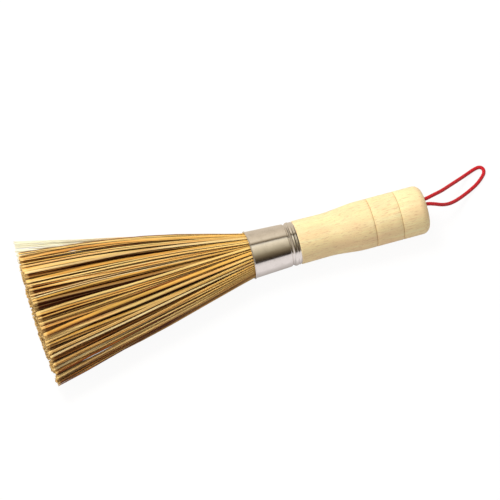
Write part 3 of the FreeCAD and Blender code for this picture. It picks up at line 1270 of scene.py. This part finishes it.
@dataclass
class HangingLoop:
    """The red braided cord, folded double, with both ends in the hole in the butt."""

    finish: Material
    diameter: float = 2.5 * MM
    exit: Triple = (BUTT_X, 4.55 * MM, 19.8 * MM)
    route: tuple[Triple, ...] = (
        (-5.5, 4.55, 19.8),
        (1.2, 4.55, 19.8),
        (8.6, 7.0, 18.4),
        (15.0, 9.8, 15.2),
        (22.9, 14.8, 10.2),
        (30.7, 19.5, 5.6),
        (37.8, 23.6, 2.1),
        (43.5, 26.2, 1.25),
        (48.0, 27.2, 1.25),
        (50.2, 25.2, 1.25),
        (50.0, 22.1, 1.25),
        (47.4, 19.0, 1.25),
        (42.3, 14.8, 1.25),
        (34.7, 10.4, 2.4),
        (26.3, 5.5, 5.6),
        (18.8, 1.6, 10.0),
        (12.7, 0.1, 14.2),
        (7.7, 0.4, 17.7),
        (1.2, 1.45, 19.8),
        (-5.5, 1.45, 19.8),
    )
    around: int = 24
    step: float = 0.26 * MM
    braid_pitch: float = 6.0 * MM
    braid_strands: int = 8
    braid_relief: float = 0.063 * MM

    def line(self) -> list[Vector]:
        """Draws a smooth line along the route.

        Returns:
            Points at even steps along it.
        """
        curve = bpy.data.curves.new("loop_route", "CURVE")
        curve.dimensions = "3D"
        curve.resolution_u = 40
        spline = curve.splines.new("NURBS")
        spline.points.add(len(self.route) - 1)
        for point, (x, y, z) in zip(spline.points, self.route):
            point.co = (BUTT_X + x * MM, y * MM, z * MM, 1.0)
        spline.order_u = 3
        spline.use_endpoint_u = True
        holder = bpy.data.objects.new("loop_route", curve)
        mesh = bpy.data.meshes.new_from_object(holder)
        fine = [vert.co.copy() for vert in mesh.vertices]
        bpy.data.objects.remove(holder)
        bpy.data.curves.remove(curve)
        bpy.data.meshes.remove(mesh)
        return self._even(fine)

    def _even(self, fine: list[Vector]) -> list[Vector]:
        """Divides a line evenly.

        Args:
            fine: The line, as many points at short steps.

        Returns:
            Points at even steps along it, about as far apart as the step.
        """
        length = sum((after - before).length for before, after in zip(fine, fine[1:]))
        count = round(length / self.step)
        even = [fine[0]]
        walked = 0.0
        wanted = length / count
        for before, after in zip(fine, fine[1:]):
            run = (after - before).length
            while run > 0 and walked + run >= wanted - 1e-9 and len(even) < count:
                even.append(before.lerp(after, (wanted - walked) / run))
                wanted += length / count
            walked += run
        even.append(fine[-1])
        return even

    def sunk(self, along: float, around: float) -> float:
        """How deep the braid's surface lies.

        Args:
            along: The distance along the cord.
            around: The angle round it.

        Returns:
            The depth, from 0 on a crest to 2 in the deepest places between strands.
        """
        half = self.braid_strands / 2
        turn = half * 2 * math.pi * along / self.braid_pitch
        return 1 - max(math.cos(half * around + turn), math.cos(half * around - turn))

    def build(self) -> None:
        line = self.line()
        mesh = bmesh.new()
        depth_layer = mesh.verts.layers.float.new("depth")
        uv_layer = mesh.loops.layers.uv.new("UVMap")
        ring = bmesh.ops.create_circle(mesh, cap_ends=True, radius=1.0, segments=self.around)["verts"]
        shape = [vert.co.copy() for vert in ring]
        edges = list(mesh.edges)
        rings = [ring]
        for _ in line[1:]:
            moved = bmesh.ops.extrude_edge_only(mesh, edges=edges)["geom"]
            edges = [item for item in moved if isinstance(item, BMEdge)]
            rings.append([item for item in moved if isinstance(item, BMVert)])
        bmesh.ops.contextual_create(mesh, geom=edges)
        length = 0.0
        upright = Vector((0, 0, 1))
        unrolled = {}
        for index, (centre, verts) in enumerate(zip(line, rings)):
            before, after = line[max(0, index - 1)], line[min(len(line) - 1, index + 1)]
            length += (centre - before).length
            ahead = (after - before).normalized()
            upright = (upright - ahead * upright.dot(ahead)).normalized()
            across = ahead.cross(upright)
            for place, (vert, flat) in enumerate(zip(verts, shape)):
                sunk = self.sunk(length, math.atan2(flat.y, flat.x))
                reach = self.diameter / 2 - sunk * self.braid_relief
                vert.co = centre + (upright * flat.x + across * flat.y) * reach
                vert[depth_layer] = sunk
                unrolled[vert] = (length, place / self.around * math.pi * self.diameter)
        for face in mesh.faces:
            for loop in face.loops:
                loop[uv_layer].uv = unrolled[loop.vert]
        bmesh.ops.recalc_face_normals(mesh, faces=mesh.faces)
        piece = finished(mesh, "hanging_cord", sharp_degrees=60)
        dress(piece, self.finish, Slot.CORD, "hanging_loop")
        log.info("cord length %.1f mm", length / MM)
        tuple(self.exit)
        [tuple(point) for point in line]


@dataclass(frozen=True)
class SoftLamp:
    """A soft square lamp: its name, place, side in metres, power in watts and colour."""

    name: str
    place: Triple
    size: float
    power: float
    colour: Colour = (1.0, 0.985, 0.95)

    def hang(self) -> None:
        """Hangs the lamp, aimed at the brush."""
        data = bpy.data.lights.new(self.name, "AREA")
        data.size = self.size
        data.energy = self.power
        data.color = self.colour
        place = Vector(self.place)
        aimed(self.name, data, place, -place).visible_glossy = False


@dataclass
class Studio:
    """A white table and soft lights, and the camera at the photograph's viewing angle.

    The reflections are what metal shows of the room, by the angle in degrees at which it sees
    it: from level with the table behind the brush, over straight up at 0, to level in front.
    """

    table_size: float = 6.0
    lens: float = 300.0
    sensor: float = 36.0
    view_width: float = 332.0 * MM
    view_centre: Triple = (17.1 * MM, 10.3 * MM, 3.35 * MM)
    azimuth: float = -16.9
    elevation: float = 62.0
    table_colour: Colour = (0.7, 0.67, 0.65)
    table_white: float = 1.06
    table_share: float = 0.88
    ambient: Colour = (0.42, 0.405, 0.395)
    near_reflection: Colour = linear(236, 231, 231)
    # painted shadow: the table's reflected colour beneath the brush
    contact_shadow_reflection: Colour = linear(150, 143, 138)
    contact_start: float = -38 * MM
    contact_run: float = 32 * MM
    far_reflection: Colour = linear(216, 203, 184)
    far_run: float = 30 * MM
    side_reflection: Colour = linear(78, 68, 56)
    low_reflection: Colour = linear(138, 128, 112)
    low_reach: float = 0.48
    low_run: float = 0.25
    end_reflection: Colour = linear(190, 178, 158)
    side_middle: float = 0.136
    side_reach: float = 0.3
    side_run: float = 0.2
    end_reach: float = 0.72
    end_run: float = 0.25
    reflections: Stops = (
        (-90, linear(216, 203, 184)),
        (-60, linear(226, 212, 190)),
        (-35, linear(240, 227, 204)),
        (-29, linear(206, 191, 165)),
        (-23.5, linear(92, 78, 60)),
        (-19, linear(84, 71, 54)),
        (-13, linear(255, 248, 228)),
        (-4, linear(254, 243, 217)),
        (12, linear(222, 210, 184)),
        (27, linear(188, 178, 152)),
        (42, linear(135, 122, 98)),
        (58, linear(84, 72, 54)),
        (70, linear(46, 36, 25)),
        (78.5, linear(38, 28, 18)),
        (80, linear(236, 231, 231)),
    )
    lamps: tuple[SoftLamp, ...] = (
        SoftLamp("overhead_lamp", (-0.22, 0.42, 0.95), 0.5, 10.5),
        SoftLamp("end_lamp", (-1.0, -0.1, 0.35), 0.6, 2.2),
    )

    def camera(self) -> None:
        """Sets up the long-lens camera."""
        azimuth, elevation = math.radians(self.azimuth), math.radians(self.elevation)
        back = Vector((
            math.sin(azimuth) * math.cos(elevation),
            -math.cos(azimuth) * math.cos(elevation),
            math.sin(elevation),
        ))
        data = bpy.data.cameras.new("camera")
        data.lens = self.lens
        data.sensor_width = self.sensor
        distance = self.view_width * self.lens / self.sensor
        data.clip_end = 4 * distance
        place = Vector(self.view_centre) + back * distance
        bpy.context.scene.camera = aimed("camera", data, place, -back)

    def table(self) -> None:
        """Lays the pale table, which shows white to the camera and keeps a faint shadow."""
        mesh = bmesh.new()
        bmesh.ops.create_grid(mesh, x_segments=2, y_segments=2, size=self.table_size)
        table = finished(mesh, "white_table", sharp_degrees=30)
        shader = Shader("white_table", Base_Color=self.table_colour, Roughness=0.9)
        rays = shader.add("ShaderNodeLightPath")
        camera, glossy, passing = (
            shader.value(rays, f"Is {kind} Ray") for kind in ("Camera", "Glossy", "Transmission")
        )
        side = shader.parts(shader.object_place())[1]
        # painted shadow: in what metal sees, the table darkens beneath the brush, standing for its
        # shadow there
        beneath = side.from_to(self.contact_start, self.contact_run)
        mirrored = shader.mix(beneath, self.near_reflection, self.contact_shadow_reflection)
        mirrored = shader.mix(side.from_to(0, self.far_run), mirrored, self.far_reflection)
        white = shader.add("ShaderNodeEmission", None, {"Strength": self.table_white})
        shader.feed(white.inputs["Color"], shader.mix(glossy, (1.0, 1.0, 1.0), mirrored))
        share = (camera * self.table_share + passing + glossy).clamped()
        sources = {0: share, 1: shader.surface.outputs[0], 2: white.outputs[0]}
        mixed = shader.add("ShaderNodeMixShader", None, sources)
        shader.feed(shader.tree.nodes["Material Output"].inputs[0], mixed.outputs[0])
        table.data.materials.append(shader.material)

    def room(self) -> None:
        """Makes the soft room: even light, and a ceiling, a beam and dim sides for metal to show."""
        world = bpy.data.worlds.new("room")
        bpy.context.scene.world = world
        world.use_nodes = True
        bench = NodeBench(world.node_tree)
        along, across, up = bench.parts(bench.add("ShaderNodeTexCoord").outputs["Generated"])
        settings = {"operation": "ARCTAN2"}
        turn = bench.value(bench.add("ShaderNodeMath", settings, {0: across * -1.0, 1: up}))
        stops = [(angle / 180 + 0.5, colour) for angle, colour in self.reflections]
        offset = along - self.side_middle
        away = offset * offset
        low = up.from_to(self.low_reach, -self.low_run)
        mirrored = bench.layered(
            bench.ramp((turn / math.pi + 0.5).clamped(), stops),
            (
                away.from_to(self.side_reach ** 2, self.side_run),
                bench.mix(low, self.side_reflection, self.low_reflection),
            ),
            (away.from_to(self.end_reach ** 2, self.end_run), self.end_reflection),
        )
        rays = bench.add("ShaderNodeLightPath")
        seen = bench.layered(
            self.ambient,
            (bench.value(rays, "Is Glossy Ray"), mirrored),
            (bench.value(rays, "Is Camera Ray"), (1.0, 1.0, 1.0)),
        )
        bench.feed(world.node_tree.nodes["Background"].inputs["Color"], seen)

    def build(self) -> None:
        """Builds the whole studio."""
        self.camera()
        self.table()
        self.room()
        for lamp in self.lamps:
            lamp.hang()
        bpy.context.scene.view_settings.view_transform = "Standard"


def main() -> None:
    """Builds the brush and its studio, in order."""
    logging.basicConfig(level=logging.INFO, format="%(name)s: %(message)s")
    Studio().build()
    HangingLoop(RedCord().build()).build()
    ferrule = Ferrule(FerruleSteel().build())
    ferrule.build()
    Handle(PaleWood().build(), ferrule).build()
    SplitFan(BambooSplit().build()).build()


if __name__ == "__main__":
    main()
